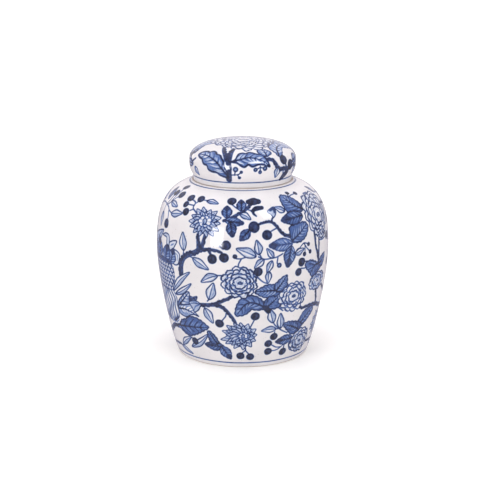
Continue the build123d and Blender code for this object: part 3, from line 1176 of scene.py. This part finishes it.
class Finish(Nodes):
    """A new material with its shader."""

    def __init__(self, name, roughness, specular):
        self.material = bpy.data.materials.new(name)
        self.material.use_nodes = True
        super().__init__(self.material.node_tree)
        self.shader = self.tree.nodes["Principled BSDF"]
        self.shader.inputs["Roughness"].default_value = roughness
        self.shader.inputs["Specular IOR Level"].default_value = specular
        self.place = self.add("ShaderNodeTexCoord").outputs["Object"]

    def noise(self, scale, detail, roughness=0.55):
        node = self.add("ShaderNodeTexNoise")
        self.link(self.place, node.inputs["Vector"])
        node.inputs["Scale"].default_value = scale
        node.inputs["Detail"].default_value = detail
        node.inputs["Roughness"].default_value = roughness
        return node.outputs["Fac"]

    def ramp(self, value, stops):
        node = self.add("ShaderNodeValToRGB")
        self.link(value, node.inputs["Fac"])
        marks = node.color_ramp.elements
        while len(marks) < len(stops):
            marks.new(0.5)
        for mark, (place, shade) in zip(marks, stops):
            mark.position = place
            mark.color = shade
        return node.outputs["Color"]

    def bump(self, height, strength, distance):
        node = self.add("ShaderNodeBump")
        node.inputs["Strength"].default_value = strength
        node.inputs["Distance"].default_value = distance
        self.link(height, node.inputs["Height"])
        self.link(node.outputs["Normal"], self.shader.inputs["Normal"])

    def done(self, shade):
        self.link(shade, self.shader.inputs["Base Color"])
        return self.material


WHITE = colour(229, 225, 227)
SHADED_WHITE = colour(222, 218, 220)
IRON = colour(150, 132, 118)
COBALT = [
    (0.0, colour(226, 224, 228)),
    (0.12, colour(204, 208, 220)),
    (0.3, colour(156, 169, 199)),
    (0.5, colour(96, 122, 176)),
    (0.68, colour(61, 87, 146)),
    (0.84, colour(43, 55, 98)),
    (1.0, colour(23, 25, 49)),
]


def glaze_white(finish):
    """The bare glaze: nearly even, with slow drifts of tone and a rare iron speck."""
    drift = finish.remap(finish.noise(28, 2), 0.35, 0.65)
    speck = finish.remap(finish.noise(650, 0), 0.80, 0.83, 0, 0.35)
    return finish.mix(speck, finish.mix(drift, WHITE, SHADED_WHITE), IRON)


def painted_glaze():
    """Cobalt that pools and thins under a gloss glaze, and bare glaze where there is no ink."""
    finish = Finish("cobalt painted glaze", 0.08, 0.45)
    brush = finish.add("ShaderNodeAttribute", attribute_name="cobalt").outputs["Fac"]
    pooled = finish.remap(finish.noise(420, 3), 0.3, 0.7, -0.07, 0.07)
    slow = finish.remap(finish.noise(110, 2), 0.3, 0.7, -0.05, 0.05)
    uneven = finish.combine("MULTIPLY", finish.remap(brush, 0.02, 0.3), finish.combine("ADD", pooled, slow))
    ink = finish.combine("ADD", brush, uneven)
    finish.bump(finish.noise(160, 2), 0.12, 0.0004)
    blue = finish.ramp(ink, COBALT)
    return finish.done(finish.mix(finish.remap(ink, 0.0, 0.1), glaze_white(finish), blue))


def plain_glaze():
    finish = Finish("plain glaze", 0.14, 0.5)
    finish.bump(finish.noise(140, 2), 0.2, 0.0005)
    return finish.done(glaze_white(finish))


def bare_clay():
    finish = Finish("unglazed clay", 0.75, 0.3)
    grain = finish.remap(finish.noise(900, 4, 0.7), 0.35, 0.65)
    flash = finish.remap(finish.noise(60, 2), 0.4, 0.65, 0, 0.6)
    body = finish.mix(grain, colour(204, 194, 188), colour(184, 172, 166))
    finish.bump(finish.noise(1500, 4, 0.7), 0.5, 0.0003)
    return finish.done(finish.mix(flash, body, colour(178, 158, 146)))


JAR_COLUMNS = 1040
LID_COLUMNS = 640
finishes = [painted_glaze(), plain_glaze(), bare_clay()]
jar = turned("jar_ware", JAR_START, JAR_PIECES, JAR_COLUMNS, HEEL[1], paint_jar, finishes, seed=3)
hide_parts("jar_body")
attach(jar, "jar")
cover = turned("lid_ware", LID_START, LID_PIECES, LID_COLUMNS, LID_FOOT, paint_lid, finishes, seed=5)
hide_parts("lid")
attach(cover, "lid")


# ---- the studio, in metres

SIDES = 96


def sheet_of_paper(name, outline, glow):
    """White paper turned about the jar's axis from (radius, height) points, with its glow near and far."""
    turns = np.arange(SIDES) * 2 * math.pi / SIDES
    points = [(r * math.cos(a), r * math.sin(a), z) for r, z in outline for a in turns]
    faces = []
    for low in range(0, (len(outline) - 1) * SIDES, SIDES):
        for k in range(SIDES):
            after = (k + 1) % SIDES
            faces.append((low + k, low + SIDES + k, low + SIDES + after, low + after))
    mesh = bpy.data.meshes.new(name)
    mesh.from_pydata(points, [], faces)
    sheet = bpy.data.objects.new(name, mesh)
    bpy.context.collection.objects.link(sheet)
    paper = Finish(name, 0.9, 0.0)
    away = paper.add("ShaderNodeVectorMath", operation="LENGTH")
    paper.link(paper.place, away.inputs[0])
    paper.shader.inputs["Emission Color"].default_value = (1.0, 1.0, 1.0, 1.0)
    paper.link(paper.remap(away.outputs["Value"], 0.6, 3.0, *glow), paper.shader.inputs["Emission Strength"])
    shade = paper.mix(paper.noise(4, 2), colour(248, 246, 243), colour(242, 240, 237))
    mesh.materials.append(paper.done(shade))
    sheet.visible_glossy = False
    return sheet


NEAR, FAR, BEND, CEILING = 3.5, 8.0, 2.0, 4.0
sheet_of_paper("studio_floor", [(0, 0), (0.6, 0), (NEAR, 0)], (0.2, 0.6))
cove = [(FAR - BEND + BEND * math.sin(a), BEND - BEND * math.cos(a)) for a in np.linspace(0, math.pi / 2, 14)]
backdrop = sheet_of_paper("studio_backdrop", [(NEAR, 0)] + cove + [(FAR, CEILING)], (0.9, 0.9))
backdrop.visible_diffuse = False


def studio_surroundings():
    """What the glaze mirrors: walls that are bright behind the jar, and a floor that is darker there."""
    world = bpy.data.worlds.new("studio")
    bpy.context.scene.world = world
    world.use_nodes = True
    nodes = Nodes(world.node_tree)
    axes = nodes.add("ShaderNodeSeparateXYZ")
    nodes.link(nodes.add("ShaderNodeTexCoord").outputs["Generated"], axes.inputs[0])
    behind = nodes.remap(axes.outputs["Y"], -0.3, 0.7)
    walls = nodes.mix(behind, (0.62, 0.62, 0.63, 1.0), (1.08, 1.02, 1.05, 1.0))
    ground = nodes.mix(behind, (0.9, 0.9, 0.9, 1.0), (0.46, 0.44, 0.52, 1.0))
    above = nodes.remap(axes.outputs["Z"], -0.04, 0.04)
    nodes.link(nodes.mix(above, ground, walls), world.node_tree.nodes["Background"].inputs["Color"])


studio_surroundings()


def lamp(light, place, target, watts, shine):
    """Stands the light at place, turned to face the target: it only shines in the glaze, or only lights."""
    light.energy = watts
    stand = bpy.data.objects.new(light.name, light)
    stand.location = place
    stand.visible_glossy = shine
    stand.visible_diffuse = not shine
    x, y, z = np.array(target) - np.array(place)
    stand.rotation_euler = (math.atan2(math.hypot(x, y), -z), 0, math.atan2(x, -y) + math.pi)
    bpy.context.collection.objects.link(stand)


def softbox(name, place, target, size, watts, shine=False):
    light = bpy.data.lights.new(name, "AREA")
    light.shape = "RECTANGLE"
    light.size, light.size_y = size
    lamp(light, place, target, watts, shine)


def snoot(name, place, target, angle, watts):
    """A narrow soft-edged beam."""
    light = bpy.data.lights.new(name, "SPOT")
    light.spot_size = math.radians(angle)
    light.spot_blend = 0.6
    light.shadow_soft_size = 0.05
    lamp(light, place, target, watts, shine=False)


softbox("window_left", (-0.93, -1.40, 0.30), (0, 0, 0.13), (0.50, 0.60), 10.0, shine=True)
softbox("window_right", (0.58, -0.69, 1.00), (0, 0, 0.15), (0.27, 0.38), 3.6, shine=True)
softbox("overhead", (0.0, -0.3, 1.6), (0, 0, 0.15), (1.0, 1.0), 10.2)
softbox("front", (-0.9, -1.5, 1.0), (0, 0, 0.15), (0.8, 0.8), 4.0)
softbox("low_fill", (0.5, -1.6, 0.12), (0, 0, 0.18), (1.0, 0.24), 1.5)
snoot("lid_light", (0.1, -1.5, 0.22), (0, 0, 0.192), 5.0, 10.0)


# ---- the camera

DISTANCE = 1.5
PITCH = math.radians(14.22)
AIM = (-0.0025, 0.0, 0.1078)
camera = bpy.data.objects.new("camera", bpy.data.cameras.new("camera"))
camera.data.sensor_width = 36.0
camera.data.lens = 116.9
camera.location = (AIM[0], -DISTANCE * math.cos(PITCH), AIM[2] + DISTANCE * math.sin(PITCH))
camera.rotation_euler = (math.pi / 2 - PITCH, 0, 0)
camera.data.clip_end = 50
bpy.context.collection.objects.link(camera)
bpy.context.scene.camera = camera
bpy.context.scene.view_settings.view_transform = "Standard"
